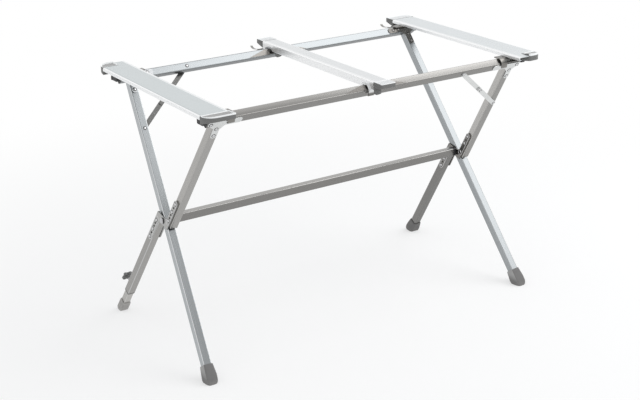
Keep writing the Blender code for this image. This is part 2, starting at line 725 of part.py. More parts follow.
def build_stop(name, side, centre, flip):
    """Block in the outer end of a clip, past the rail end, that keeps the member from sliding."""
    r = CLIP_IN - GAP
    top = CLIP_SEAT - GAP
    pts = [(CLIP_FLAT, top)] + clip_arc(r, 180 - math.degrees(math.asin(top / r)), 180, 6)
    radii = [0] * len(pts) + [STOP_R, STOP_R]
    pts = fillet(pts + [(-r, -STOP_DOWN), (CLIP_FLAT, -STOP_DOWN)], radii)
    outline = [(flip * a, b) for a, b in pts]
    xs = (side * (RAIL_HALF + STOP_CLEAR), side * (CLIP_END_X - STOP_IN))
    add(name, prism(outline, centre, Y, Z, X, min(xs), max(xs)), BLACK, FRONT)


def build_claw(name, centre, above, rise):
    """Small tab hung from the middle member or its cap: height above the rail centre and slope of its top."""
    near = -CLAW_PAST
    far = near - CLAW_LEN
    pts = [(near, above), (far, above + rise * CLAW_LEN), (far, above - CLAW_DEEP / 2),
           (near - CLAW_LEN / 2, above - CLAW_DEEP), (near, above - CLAW_DEEP)]
    outline = fillet(pts, (0, 0, CLAW_R / 2, CLAW_R, CLAW_R))
    low = CLAW_W / 6 - MID_W / 2
    add(name, prism(outline, centre, Y, Z, X, low, low + CLAW_W), BLACK, FRONT)


def build_cap(name, xs, sign, height, radii):
    """Moulded end cap: flat top, rounded plan and an underside that climbs to the tip."""
    x_low, x_high = sorted(xs)
    near = BAR_HALF_Y + GAP
    depth = CAP_END_Y - near
    corners = [(x_low, near), (x_high, near), (x_high, CAP_END_Y), (x_low, CAP_END_Y)]
    plan = fillet(corners, [0, 0] + radii, steps=6)
    mid_x = (x_low + x_high) / 2
    top = BAR_TOP + CAP_PROUD

    def ring(inset, above):
        out = []
        for x, y in plan:
            dx = (x - mid_x) / ((x_high - x_low) / 2)
            dy = (y - near) / depth
            y = y - dy * inset
            low = top - height + CAP_RISE * (y - near) / depth
            out.append(Vector((x - dx * inset, sign * y, top + above if above <= 0 else low + above - CAP_EDGE)))
        return out
    bm = bmesh.new()
    skin(bm, [ring(CAP_EDGE, CAP_EDGE), ring(0, 2 * CAP_EDGE), ring(0, -CAP_EDGE), ring(CAP_EDGE, 0)])
    flat_faces(bm)
    add(name, bm, GREY, FRONT)


def build_middle_bar():
    w, h = MID_W / 2, MID_H / 2
    frame = (Vector((0, 0, BAR_TOP - h)), Y, X, Z)
    outer = rounded(w, h, MID_EDGE, steps=2)
    inner = rounded(w - MID_WALL, h - MID_WALL, MID_EDGE / 4, steps=2)
    bar = add("bar_middle", hollow(frame, outer, inner, [(Y * -BAR_HALF_Y, Y), (Y * BAR_HALF_Y, Y)]), SILVER, FRONT)
    leave = [(-RAIL_EXIT, -NOTCH_LOW), (0, -NOTCH_LOW), (0, EXIT_HIGH), (-RAIL_EXIT, EXIT_HIGH)]
    for word, outline, centre in (("front", clip_swell(1), FRONT), ("rear", clip_swell(-1), REAR),
                                  ("exit", leave, REAR)):
        cut = prism(outline, centre, Y, Z, X, -NOTCH_HALF, NOTCH_HALF)
        boolean(bar, add(bar.name + "." + word, cut, SILVER, cutter=True), "DIFFERENCE")


front_rail = (FRONT, D_UPPER, N_UPPER)
rear_rail = (REAR, D_LONG, N_LONG)
still = Vector()
inner_x = BAR_X - BAR_W / 2
outer_x = BAR_X + BAR_W / 2

build_rail("front_rail", *front_rail, still)
build_rail("rear_rail", *rear_rail, HUB)
build_stretcher()
for side, word in SIDES:
    build_rail_plug("front_rail_plug_" + word, side, *front_rail, still)
    build_rail_plug("rear_rail_plug_" + word, side, *rear_rail, HUB)
    build_long_leg(word, side)
    build_upper_leg(word)
    build_lower_leg(word)
    build_foot("foot_front_" + word, longleg[word], HUB)
    build_hub_plate(word, side, False)
    build_hub_plate(word, side, True)
    build_hub_pin(word, side)
    build_stretcher_plug(word, side)
    build_corner("corner_front_" + word, side, front_rail, A_UPPER, (CORNER_NEXT, CORNER_LAST), still)
    build_corner("corner_rear_" + word, side, rear_rail, A_LONG, (CORNER_NEAR, CORNER_NEXT, CORNER_LAST), HUB)
    build_outer_bar(word, side)
    for sign, end in ((-1, "front"), (1, "rear")):
        narrow = sign != side
        near_x = outer_x - CAP_NARROW + GAP if narrow else inner_x
        radii = [CAP_CORNER, CAP_SMALL] if side > 0 else [CAP_SMALL, CAP_CORNER]
        build_cap("bar_cap_" + end + "_" + word, (side * near_x, side * outer_x), sign, CAP_H, radii)
    reach = (side * (inner_x - CLIP_REACH), side * CLIP_END_X)
    hook = (side * (inner_x - CLIP_REACH), side * (inner_x - HOOK_BACK))
    build_clip("bar_clip_front_" + word, FRONT, 1, reach, 155, hook, 208)
    build_clip("bar_clip_rear_" + word, REAR, -1, reach, 196)
    build_stop("bar_stop_front_" + word, side, FRONT, 1)
    build_stop("bar_stop_rear_" + word, side, REAR, -1)
build_foot("foot_rear_right", lower["right"], still)
build_brace("brace_front", 1, front_rail, A_UPPER, still)
build_brace("brace_rear", -1, (REAR, D_LONG, -N_LONG), A_LONG, HUB)
build_adjuster()
build_collar()
build_clamp()
build_middle_bar()
for sign, word in ((-1, "front"), (1, "rear")):
    build_cap("bar_cap_" + word + "_middle", (-MID_W / 2, MID_W / 2), sign, MID_H, [CAP_SMALL, CAP_SMALL])
build_clip("bar_clip_front_middle", FRONT, 1, (-MID_CLIP, MID_CLIP), 150, (-MID_CLIP, MID_HOOK - MID_CLIP), 222)
build_clip("bar_clip_rear_middle", REAR, -1, (-MID_CLIP, MID_CLIP), 196)
under = BAR_TOP - MID_H - RAIL_Z - GAP
slope = CAP_RISE / (CAP_END_Y - BAR_HALF_Y - GAP)
claw_start = RAIL_Y + CLAW_PAST - BAR_HALF_Y - GAP
build_claw("bar_claw_front_middle", FRONT, under + CAP_PROUD + slope * claw_start, slope)
build_claw("bar_claw_rear_middle", REAR, under, 0)
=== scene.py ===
"""Looks of the folding camp table: finishes for its tubes, sheet parts and mouldings, the small
fittings, and the studio it stands in. Metres, Z up, X along the rails."""
import json
import math

import bmesh
import bpy
from mathutils import Matrix, Vector


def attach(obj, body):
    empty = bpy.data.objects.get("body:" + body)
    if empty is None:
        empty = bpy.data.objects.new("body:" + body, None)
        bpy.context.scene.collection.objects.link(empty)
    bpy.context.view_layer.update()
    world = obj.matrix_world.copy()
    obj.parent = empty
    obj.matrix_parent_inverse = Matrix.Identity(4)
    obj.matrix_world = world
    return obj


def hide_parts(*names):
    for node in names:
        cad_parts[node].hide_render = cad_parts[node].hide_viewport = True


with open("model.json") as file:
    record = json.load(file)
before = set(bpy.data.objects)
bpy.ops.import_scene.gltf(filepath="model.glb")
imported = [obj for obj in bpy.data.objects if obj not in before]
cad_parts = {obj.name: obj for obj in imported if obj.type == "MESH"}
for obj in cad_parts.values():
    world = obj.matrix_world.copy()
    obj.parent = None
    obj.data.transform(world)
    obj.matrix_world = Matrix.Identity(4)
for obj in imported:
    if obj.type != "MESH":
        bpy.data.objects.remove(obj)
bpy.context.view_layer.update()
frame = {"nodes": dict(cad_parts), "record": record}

scene = bpy.context.scene
X, Y, Z = Vector((1, 0, 0)), Vector((0, 1, 0)), Vector((0, 0, 1))
Vert, Edge = bmesh.types.BMVert, bmesh.types.BMEdge
SIDES = ((-1, "left"), (1, "right"))
ENDS = ((-1, "front"), (1, "rear"))

# Measures of the part
RAIL_Y, RAIL_Z = 0.236, 0.670
HUB_X, HUB_Z = 0.4805, 0.3485         # where the legs cross
DROP = RAIL_Z - HUB_Z
REAR_FOOT_Y = 0.262
SPLAY = 0.0878                        # outward lean of a leg for each metre down
LEG_STEP = 0.025                      # from the crossing to the upper and lower legs' centre lines
HALF, INNER_HALF = 0.011, 0.0091      # half widths of a square tube and of the sliding one
BAR_X, BAR_TOP = 0.473, 0.698
BAR_HALF, BAR_STRIP = 0.039, 0.0345   # from an outer member's middle to its edge and to its painted highlight strip
MID_HALF, MID_STRIP = 0.0225, 0.0180  # the same of the middle member

# Side view of the legs: angle from upright, normal towards the front, direction down
A_LONG = math.atan2(RAIL_Y, DROP)
A_UPPER = A_LONG - math.asin(LEG_STEP / math.hypot(RAIL_Y, DROP))
A_LOWER = math.atan2(REAR_FOOT_Y, HUB_Z) - math.asin(LEG_STEP / math.hypot(REAR_FOOT_Y, HUB_Z))
N_LONG = Vector((0, -math.cos(A_LONG), math.sin(A_LONG)))
N_UPPER = Vector((0, -math.cos(A_UPPER), -math.sin(A_UPPER)))
N_LOWER = Vector((0, -math.cos(A_LOWER), -math.sin(A_LOWER)))
D_LONG = Vector((0, -math.sin(A_LONG), -math.cos(A_LONG)))
D_UPPER = Vector((0, math.sin(A_UPPER), -math.cos(A_UPPER)))
D_LOWER = Vector((0, math.sin(A_LOWER), -math.cos(A_LOWER)))
HUB = Vector((0, 0, HUB_Z))
FRONT, REAR = Vector((0, -RAIL_Y, RAIL_Z)), Vector((0, RAIL_Y, RAIL_Z))


def hub_at(side):
    return HUB + X * side * HUB_X


def leg_axis(down, side):
    return (down + X * side * SPLAY * abs(down.z)).normalized()


def on_floor(point, axis):
    """Where a line through a point meets the floor."""
    return point + axis * (-point.z / axis.z)


# Shader arithmetic

class Value:
    """A shader socket that takes arithmetic; every operation adds its Math node."""

    def __init__(self, finish, socket):
        self.finish = finish
        self.socket = socket

    def math(self, how, *terms):
        return self.finish.node("ShaderNodeMath", {"operation": how}, terms)

    def __add__(self, other):
        return self.math("ADD", self, other)

    def __radd__(self, other):
        return self.math("ADD", other, self)

    def __sub__(self, other):
        return self.math("SUBTRACT", self, other)

    def __rsub__(self, other):
        return self.math("SUBTRACT", other, self)

    def __mul__(self, other):
        return self.math("MULTIPLY", self, other)

    def __rmul__(self, other):
        return self.math("MULTIPLY", other, self)

    def __abs__(self):
        return self.math("ABSOLUTE", self)

    def lower(self, other):
        return self.math("MINIMUM", self, other)

    def upper(self, other):
        return self.math("MAXIMUM", self, other)

    def rise(self, start, end):
        """0 before start, 1 after end, smooth between."""
        return self.finish.node("ShaderNodeMapRange", {"interpolation_type": "SMOOTHSTEP"},
                                {"Value": self, "From Min": start, "From Max": end})

    def stripe(self, at, outer, inner):
        """1 within the inner distance of a line, 0 beyond the outer distance."""
        return (abs(self - at) * -1).rise(-outer, -inner)


class Finish:
    """A material, or a world, while its nodes are laid."""

    def __init__(self, name, owner=None):
        self.made = owner or bpy.data.materials.new(name)
        self.made.use_nodes = True
        self.tree = self.made.node_tree
        if owner is None:
            self.surface = self.tree.nodes["Principled BSDF"]

    def fill(self, socket, value):
        """Link a value to a socket, or set the socket to a plain number or colour."""
        if isinstance(value, Value):
            self.tree.links.new(value.socket, socket)
        else:
            socket.default_value = value

    def node(self, kind, settings=None, sockets=(), out=0):
        """Add a node: settings first, then the values or links of its sockets."""
        made = self.tree.nodes.new(kind)
        for key, value in (settings or {}).items():
            setattr(made, key, value)
        for key, value in sockets.items() if isinstance(sockets, dict) else enumerate(sockets):
            self.fill(made.inputs[key], value)
        return Value(self, made.outputs[out])

    def place(self):
        return self.node("ShaderNodeTexCoord", out="Object")

    def along(self, spot, direction, origin=(0, 0, 0)):
        """Distance along a direction from an origin."""
        here = self.node("ShaderNodeVectorMath", {"operation": "SUBTRACT"}, (spot, tuple(origin)))
        return self.node("ShaderNodeVectorMath", {"operation": "DOT_PRODUCT"},
                         (here, tuple(direction)), "Value")

    def noise(self, distances, scales, detail, rough, seed):
        """Noise between 0 and 1 on three distances, with one scale or one for each."""
        scales = scales if isinstance(scales, tuple) else (scales,) * 3
        spot = self.node("ShaderNodeCombineXYZ",
                         sockets=[d * scale for d, scale in zip(distances, scales)])
        return self.node("ShaderNodeTexNoise", {"noise_dimensions": "4D"},
                         {"Vector": spot, "W": seed, "Scale": 1.0, "Detail": detail,
                          "Roughness": rough}, "Fac")

    def blend(self, share, one, two):
        return self.node("ShaderNodeMix", {"data_type": "RGBA"}, {0: share, 6: one, 7: two}, 2)

    def scaled(self, colour, share):
        return self.node("ShaderNodeVectorMath", {"operation": "SCALE"}, {0: colour, 3: share})

    def set(self, **sockets):
        for key, value in sockets.items():
            self.fill(self.surface.inputs[key.replace("_", " ")], value)

    def relief(self, height, strength, distance):
        self.set(Normal=self.node("ShaderNodeBump", sockets={
            "Strength": strength, "Distance": distance, "Height": height}))


def rgb(r, g, b):
    return (r, g, b, 1.0)


def shades(tone, low, high):
    """A tone made darker and lighter, for the two ends of a blend."""
    return rgb(*(c * low for c in tone)), rgb(*(c * high for c in tone))


def laid_out(name):
    """A new finish and the three distances its textures lie on."""
    f = Finish(name)
    spot = f.place()
    return f, *(f.along(spot, d) for d in (X, Y, Z))


# Finishes

def drawn_metal(name, point, axis, side, face, half, tone, seed, faces, edge, fade=(1, 1)):
    """Anodised tube: long die lines, faint clouding, and bright corners, partly rubbed wear and
    partly a painted highlight.

    The numbers in faces scale the faces +side, -side, +face and -face as painted shade and
    light. Fade scales the tube from its -face to its +face as a painted shade gradient, with a
    painted highlight crest at -face."""
    f = Finish(name)
    spot = f.place()
    run, a, b = f.along(spot, axis, point), f.along(spot, side, point), f.along(spot, face, point)
    die = f.noise((run, a, b), (1.5, 600, 600), 2, 0.6, seed)
    streak = f.noise((run, a, b), (0.8, 160, 160), 2, 0.5, seed + 3)
    cloud = f.noise((run, a, b), (9, 30, 30), 3, 0.6, seed + 7)
    nick = f.noise((run, a, b), (45, 200, 200), 3, 0.7, seed + 11).rise(0.54, 0.72)
    corner = abs(a).lower(abs(b)).rise(half * 0.78, half * 0.92)
    near, far = half * 0.86, half * 0.99    # a face's painted shade and light sets in here
    painted_shading = 1.0
    for share, where in zip(faces, (a, a * -1, b, b * -1)):
        painted_shading = painted_shading + where.rise(near, far) * (share - 1)
    # Painted shade gradient across the tube, and a painted highlight along its -face corner
    if fade != (1, 1):
        crest = 1 - b.rise(-half, -half * 0.84)
        first, last = fade
        painted_shading = painted_shading * (b.rise(-half, half) * (last - first) + first + crest * 0.6)
    shade = (streak - 0.5) * 0.4 + (cloud - 0.5) * 0.6 + 0.5
    body = f.scaled(f.blend(shade, *shades(tone, 0.94, 1.05)), painted_shading)
    rough = 0.26 + (streak - 0.5) * 0.06 + (die - 0.5) * 0.05 + nick * corner * 0.06
    # Corners lightened towards near white: nick-spotted wear plus a painted highlight, weighted by
    # edge
    f.set(Base_Color=f.blend(corner * (nick * 0.35 + 0.65) * edge, body, rgb(0.86, 0.87, 0.88)),
          Roughness=rough.upper(0.14), Metallic=0.92)
    f.relief(die * 0.7 + nick * corner * 0.4, 0.012, 0.0004)
    return f.made


def extruded_metal(name, tone, seed, low_x, high_x, strip):
    """Satin anodised extrusion: fine lines along Y, a soft cloud and small rubs; near-white lines
    at its top edges, near-white sides and a bright inner strip are painted highlights, and a
    groove along its low edge is darkened as painted shade."""
    f, x, y, z = laid_out(name)
    die = f.noise((x, y, z), (1300, 2.2, 1300), 2, 0.6, seed)
    streak = f.noise((x, y, z), (130, 0.9, 130), 2, 0.5, seed + 2)
    cloud = f.noise((x, y, z), (16, 7, 16), 3, 0.55, seed + 5)
    rub = f.noise((x, y, z), (420, 55, 420), 3, 0.65, seed + 9).rise(0.63, 0.76)
    shade = (streak - 0.5) * 0.45 + (cloud - 0.5) * 0.6 + 0.5
    lip_in, groove_in = 0.0012, 0.0050      # from the edge
    upper = z.rise(BAR_TOP - 0.0040, BAR_TOP - 0.0020)
    # Painted highlights: near-white lines at the top edges, the sides and an inner strip
    lips = [x.stripe(at, 0.0022, 0.0012) for at in (low_x + lip_in, high_x - lip_in)]
    lip = lips[0].upper(lips[1]) * upper
    groove = x.stripe(low_x + groove_in, 0.0016, 0.0006) * upper
    highlight_band = x.stripe(strip, 0.0052, 0.0040) * upper
    low_side = (x * -1).rise(-low_x - 0.0016, -low_x - 0.0002)
    high_side = x.rise(high_x - 0.0016, high_x - 0.0002)
    side = (low_side + high_side).lower(1)
    body = f.blend(shade, *shades(tone, 0.94, 1.05))
    body = f.blend(lip.upper(side * 0.8).upper(highlight_band * 0.65), body, rgb(0.97, 0.975, 0.98))
    # Painted shade darkens the groove
    body = f.scaled(body, 1 - groove * 0.16)
    rough = 0.34 + (streak - 0.5) * 0.10 + (die - 0.5) * 0.12 + rub * 0.06
    f.set(Base_Color=f.blend(rub * 0.25, body, rgb(0.84, 0.85, 0.86)), Roughness=rough,
          Metallic=0.85)
    f.relief(die + rub * 0.5 - groove * 3, 0.06, 0.0004)
    return f.made


def pressed_metal(name, tone, seed, shade_below_tone=None):
    """Zinc-plated sheet: fine tumbled grain, soft patches and short scuffs. A dark tone on what
    hangs below the middle of the rails is painted shade."""
    f, x, y, z = laid_out(name)
    grain = f.noise((x, y, z), 1100, 3, 0.65, seed)
    patch = f.noise((x, y, z), 60, 3, 0.6, seed + 4)
    scuff = f.noise((x, y, z), (700, 90, 260), 3, 0.6, seed + 8).rise(0.60, 0.72)
    body = f.blend(patch, *shades(tone, 0.84, 1.10))
    # Painted shade below the middle of the rails
    if shade_below_tone:
        body = f.blend(z.rise(RAIL_Z - 0.006, RAIL_Z + 0.001), rgb(*shade_below_tone), body)
    rough = 0.27 + (patch - 0.5) * 0.16 + (grain - 0.5) * 0.12 + scuff * 0.10
    f.set(Base_Color=f.blend(scuff * 0.4, body, rgb(0.86, 0.86, 0.85)), Roughness=rough,
          Metallic=0.95)
    f.relief(grain * 0.6 + patch * 0.8 + scuff * 0.5, 0.12, 0.0006)
    return f.made


def turned_metal(name, tone, seed):
    """Plated steel of pins, rivets and the clamp screw."""
    f, x, y, z = laid_out(name)
    grain = f.noise((x, y, z), 1700, 2, 0.6, seed)
    stain = f.noise((x, y, z), 240, 3, 0.6, seed + 6)
    f.set(Base_Color=f.blend(stain, *shades(tone, 0.78, 1.12)),
          Roughness=0.24 + (stain - 0.5) * 0.20 + (grain - 0.5) * 0.10, Metallic=1.0)
    f.relief(grain, 0.10, 0.0003)
    return f.made


def moulded(name, tone, grain_scale, rough, worn, seed, dusty=0.0, painted_lit_side=0.0):
    """Moulded plastic or rubber: spark-eroded grain, specks of the worn tone and rubbed patches.
    Dusty adds floor dust low down; the last argument pales what faces -X as painted light."""
    f, x, y, z = laid_out(name)
    grain = f.noise((x, y, z), grain_scale, 3, 0.7, seed)
    patch = f.noise((x, y, z), 45, 3, 0.6, seed + 4)
    speck = f.noise((x, y, z), 520, 2, 0.6, seed + 9).rise(0.64, 0.78)
    body = f.blend(patch, *shades(tone, 0.86, 1.14))
    share = speck * 0.35
    if dusty:
        share = share.upper((1 - z.rise(0.0, 0.016)) * patch * dusty)
    # Painted light: faces towards -X made paler
    if painted_lit_side:
        turned = f.along(f.node("ShaderNodeTexCoord", out="Normal"), (-1, 0, 0)).rise(0.45, 0.9)
        pale = turned * z.rise(0.006, 0.034) * painted_lit_side
        body = f.blend(pale, body, rgb(0.55, 0.55, 0.54))
    f.set(Base_Color=f.blend(share, body, rgb(*worn)), Metallic=0.0, Specular_IOR_Level=0.4,
          Roughness=rough + (grain - 0.5) * 0.16 + (patch - 0.5) * 0.12)
    f.relief(grain + speck * 0.4, 0.30, 0.0005)
    return f.made


def paint(node, material):
    """Give a CAD node one material."""
    data = frame["nodes"][node].data
    data.materials.clear()
    data.materials.append(material)


# Tubes: tone, shares of the four faces as painted shade and light, then the rails' painted fade or
# the legs' bright corners (wear and painted highlight)
SILVER = (0.345, 0.338, 0.326)
COOL = (0.340, 0.358, 0.368)
rail_look = {"front_rail": (FRONT, D_UPPER, N_UPPER, SILVER, (1, 0.98, 1.06, 1), (1.10, 0.70)),
             "rear_rail": (REAR, D_LONG, N_LONG, COOL, (0.52, 1, 0.90, 1), (1, 1))}
leg_look = {"long_leg_left": (COOL, (1.22, 1, 0.76, 1), 1.0),
            "long_leg_right": (COOL, (1.04, 1, 0.84, 1), 0.20),
            "upper_leg_left": (SILVER, (1.20, 1, 1.08, 1), 0.05),
            "upper_leg_right": (SILVER, (1.42, 1, 0.84, 1), 0.05),
            "lower_leg_left": (SILVER, (0.98, 1, 1.04, 1), 0.65),
            "lower_leg_right": (SILVER, (0.62, 1, 0.50, 1), 0.10)}
for number, (node, (at, down, face, tone, faces, fade)) in enumerate(rail_look.items()):
    paint(node, drawn_metal(node + "_finish", at, X, down, face, HALF, tone, 10.0 + number,
                            faces, 0.0, fade))
# The stretcher's -side face darkened as painted shade
paint("stretcher", drawn_metal("stretcher_finish", HUB, X, Y, Z, HALF, SILVER, 14.0,
                               (1, 0.68, 1.04, 1), 0.12))
for number, (side, word) in enumerate(SIDES):
    hub = hub_at(side)
    for kind, point, down, face in (("long_leg_", hub, D_LONG, N_LONG),
                                    ("upper_leg_", hub + N_UPPER * LEG_STEP, D_UPPER, N_UPPER),
                                    ("lower_leg_", hub - N_LOWER * LEG_STEP, D_LOWER, N_LOWER)):
        leg = kind + word
        axis = leg_axis(down, side)
        across = axis.cross(face).normalized()
        tone, faces, edge = leg_look[leg]
        paint(leg, drawn_metal(leg + "_finish", point, axis, across, face, HALF, tone,
                               20.0 + 5 * number + len(kind), faces, edge))
        if leg == "lower_leg_left":
            # Two faces of the adjuster tube lightened as painted light
            paint("adjuster_tube", drawn_metal("adjuster_tube_finish", point, axis, across, face,
                                               INNER_HALF, SILVER, 41.0, (1.3, 1, 1.4, 1), 0.3))

# Members: tone, each member lighter or darker as painted light, low and high edge, and the middle
# of the painted highlight strip
bar_look = {"left": ((0.60, 0.64, 0.65), -BAR_X - BAR_HALF, -BAR_X + BAR_HALF,
                     -BAR_X + BAR_STRIP),
            "middle": ((0.74, 0.755, 0.765), -MID_HALF, MID_HALF, -MID_STRIP),
            "right": ((0.69, 0.72, 0.735), BAR_X - BAR_HALF, BAR_X + BAR_HALF,
                      BAR_X - BAR_STRIP)}
for number, (word, (tone, low_x, high_x, strip)) in enumerate(bar_look.items()):
    bar = "bar_" + word
    paint(bar, extruded_metal(bar + "_finish", tone, 50.0 + 4 * number, low_x, high_x, strip))

# Sheet parts
hub_grey = pressed_metal("hub_finish", (0.42, 0.42, 0.41), 68.0)
# The middle front clip: near white as painted light, dark below the rails' middle as painted shade
clip_painted_light = pressed_metal("clip_finish_painted_light", (0.80, 0.81, 0.81), 69.0, (0.17, 0.164, 0.154))
sheet_finish = pressed_metal("sheet_finish", (0.68, 0.69, 0.685), 70.0)
tab_finish = pressed_metal("tab_finish", (0.34, 0.335, 0.32), 71.0)
# Darker copy for the rear right corner plate: painted shade
corner_dark = pressed_metal("corner_finish_dark", (0.145, 0.138, 0.128), 72.0)
corner_pale = pressed_metal("corner_finish_rear", (0.40, 0.41, 0.42), 73.0)
# Dark clips: their tone is painted shade
clip_finish = pressed_metal("clip_finish", (0.24, 0.232, 0.218), 74.0)
# Dark sheets on the rails: painted shade and reflection of the members
rail_shade_finish = pressed_metal("rail_shade_finish", (0.21, 0.200, 0.188), 75.0)
brace_dark = pressed_metal("brace_finish_rear", (0.10, 0.10, 0.097), 76.0)
# Darker copy for the right hub plates: painted shade
hub_dark = pressed_metal("hub_finish_dark", (0.22, 0.212, 0.20), 77.0)
# Near black: painted shadow round the rivet heads and in the hub plates' dimples
shadow_ring_finish = pressed_metal("rivet_shadow_ring_finish", (0.06, 0.06, 0.058), 78.0)

# Turned parts
rivet_finish = turned_metal("rivet_finish", (0.72, 0.72, 0.73), 79.0)
steel_finish = turned_metal("steel_finish", (0.52, 0.52, 0.53), 80.0)
# Darker copy for the rear right rivet heads: painted shade
rivet_shaded = turned_metal("rivet_finish_shaded", (0.30, 0.29, 0.28), 81.0)

# Mouldings: tone, grain, roughness, worn tone, seed, dust, painted light on faces towards -X
# Caps: tops lighter than the sides as painted light, the rim near white as painted highlight
cap_finish = moulded("cap_finish", (0.165, 0.165, 0.161), 1500, 0.52, (0.32, 0.32, 0.31), 90.0)
cap_top = moulded("cap_top_finish", (0.36, 0.36, 0.355), 1500, 0.45, (0.60, 0.60, 0.60), 91.0)
cap_rim_highlight = moulded("cap_rim_finish", (0.92, 0.93, 0.93), 1500, 0.30, (0.92, 0.92, 0.92), 92.0)
cap_top_lit = moulded("cap_pale_finish", (0.72, 0.735, 0.74), 1500, 0.38, (0.80, 0.80, 0.80), 93.0)
claw_finish = moulded("claw_finish", (0.022, 0.022, 0.024), 1700, 0.45, (0.06, 0.06, 0.062), 94.0)
knob_finish = moulded("knob_finish", (0.16, 0.16, 0.16), 1700, 0.40, (0.34, 0.34, 0.34), 95.0)
foot_finish = moulded("foot_finish", (0.165, 0.162, 0.160), 1300, 0.62, (0.28, 0.27, 0.26), 97.0,
                      0.8, 0.5)
level_foot = moulded("level_foot_finish", (0.40, 0.39, 0.375), 1300, 0.55, (0.50, 0.49, 0.48),
                     98.0, 0.6)
foot_dark = moulded("foot_finish_dark", (0.150, 0.147, 0.145), 1300, 0.62, (0.26, 0.25, 0.24),
                    99.0, 0.6)

slot_finish = {"sheet_metal": sheet_finish, "steel": steel_finish, "grey_plastic": cap_finish,
               "black_plastic": claw_finish, "rubber": foot_finish}
own_finish = {"hub_plate_inner_left": hub_grey, "hub_plate_outer_left": hub_grey,
              "hub_plate_inner_right": hub_dark, "hub_plate_outer_right": hub_dark,
              "brace_rear_rail_link": brace_dark, "brace_rear_leg_link": brace_dark,
              "corner_rear_left": corner_pale, "corner_rear_right": corner_dark,
              "bar_clip_front_middle": clip_painted_light, "bar_clip_rear_middle": corner_pale,
              "bar_claw_front_middle": cap_finish, "bar_claw_rear_middle": cap_finish,
              "bar_stop_rear_left": claw_finish, "star_knob": knob_finish,
              "adjuster_foot": level_foot}
for row in frame["record"]["subparts"]:
    node, slot = row["node"], row.get("material_slot")
    if node in own_finish:
        paint(node, own_finish[node])
    elif node.startswith("bar_clip"):
        paint(node, clip_finish)
    elif slot in slot_finish:
        paint(node, slot_finish[slot])


# Small fittings and moulded ends

def piece(name, body, bm, materials, smooth=40, stands_for=()):
    """Make a finished piece from a bmesh in place and let it ride on its body. Edges turned by
    more than smooth degrees stay sharp."""
    bmesh.ops.remove_doubles(bm, verts=bm.verts, dist=1e-6)
    bmesh.ops.recalc_face_normals(bm, faces=bm.faces)
    mesh = bpy.data.meshes.new(name)
    bm.to_mesh(mesh)
    bm.free()
    mesh.shade_smooth()
    mesh.set_sharp_from_angle(angle=math.radians(smooth))
    for material in materials if isinstance(materials, tuple) else (materials,):
        mesh.materials.append(material)
    made = bpy.data.objects.new(name, mesh)
    scene.collection.objects.link(made)
    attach(made, body)
    if stands_for:
        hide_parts(*stands_for)
    return made


def of_kind(geom, kind):
    return [g for g in geom if isinstance(g, kind)]


def pulled(bm, loop):
    """Extrude a row of edges; gives the new vertices, to be moved, and the new row."""
    new = bmesh.ops.extrude_edge_only(bm, edges=loop)["geom"]
    verts = of_kind(new, Vert)
    return verts, [e for e in of_kind(new, Edge) if all(v in verts for v in e.verts)]


def profile_line(bm, places):
    """Vertices and edges of an open line through places."""
    verts = [bm.verts.new(at) for at in places]
    return verts, [bm.edges.new(pair) for pair in zip(verts, verts[1:])]


def spun(bm, centre, axis, profile, steps=18):
    """Turn a profile of radius and height pairs about an axis."""
    axis = axis.normalized()
    side = axis.orthogonal().normalized()
    verts, edges = profile_line(bm, [centre + side * r + axis * h for r, h in profile])
    bmesh.ops.spin(bm, geom=verts + edges, cent=centre, axis=axis, angle=2 * math.pi,
                   steps=steps, use_merge=True)


def rivet_head(bm, centre, axis, r):
    """Domed head with the dimple its pin leaves."""
    spun(bm, centre, axis, ((0, -0.0003), (r, -0.0003), (r, 0.0004), (0.93 * r, 0.0009),
                            (0.72 * r, 0.0014), (0.42 * r, 0.0017), (0.30 * r, 0.0017),
                            (0.25 * r, 0.0012), (0, 0.0012)))


def rivet_shadow_ring(bm, centre, axis, r):
    """Thin ring round a rivet head, the shape of its painted shadow."""
    low, high, inner = 0.00002, 0.00022, r * 0.9
    spun(bm, centre, axis, ((inner, low), (r * 1.50, low), (r * 1.44, high), (inner, high),
                            (inner, low)))


# Faces that rivets sit on, from the middle of their tube or pair of plates
CORNER_FACE, RAIL_LINK_FACE, LEG_LINK_FACE = 0.0131, 0.0128, 0.0146
TUBE_FACE, HUB_FACE = 0.0112, 0.0150
HEAD, TUBE_HEAD, LINK_HEAD, DIMPLE = 0.0037, 0.0034, 0.0031, 0.0021    # radii
LEG_RIVETS = (0.018, 0.041)             # down the leg from the rail
LINK_X, LINK_DOWN = 0.286, 0.150        # brace rivets on the rail and on the leg
LAP_SHARE, LAP_HALF = 0.52, 0.0065      # middle of a brace's lap, and to its two rivets
LOBE_RIVETS = (0.024, 0.060, 0.090)     # along the leg from the pivot
LOBE_OFF = 0.022                        # from the pivot across the leg to the lobe's middle


def lobe_spots(reaches):
    """For each lobe of the hub plates, its outward direction and its places at some distances
    from the pivot along the leg."""
    for side, _ in SIDES:
        hub = hub_at(side)
        axis = leg_axis(D_UPPER, side)
        out = axis.cross(N_UPPER).normalized()
        for turn in (1, -1):
            for lobe in (1, -1):
                yield out * turn, [hub - axis * lobe * reach + N_UPPER * lobe * LOBE_OFF
                                   + out * turn * HUB_FACE for reach in reaches]


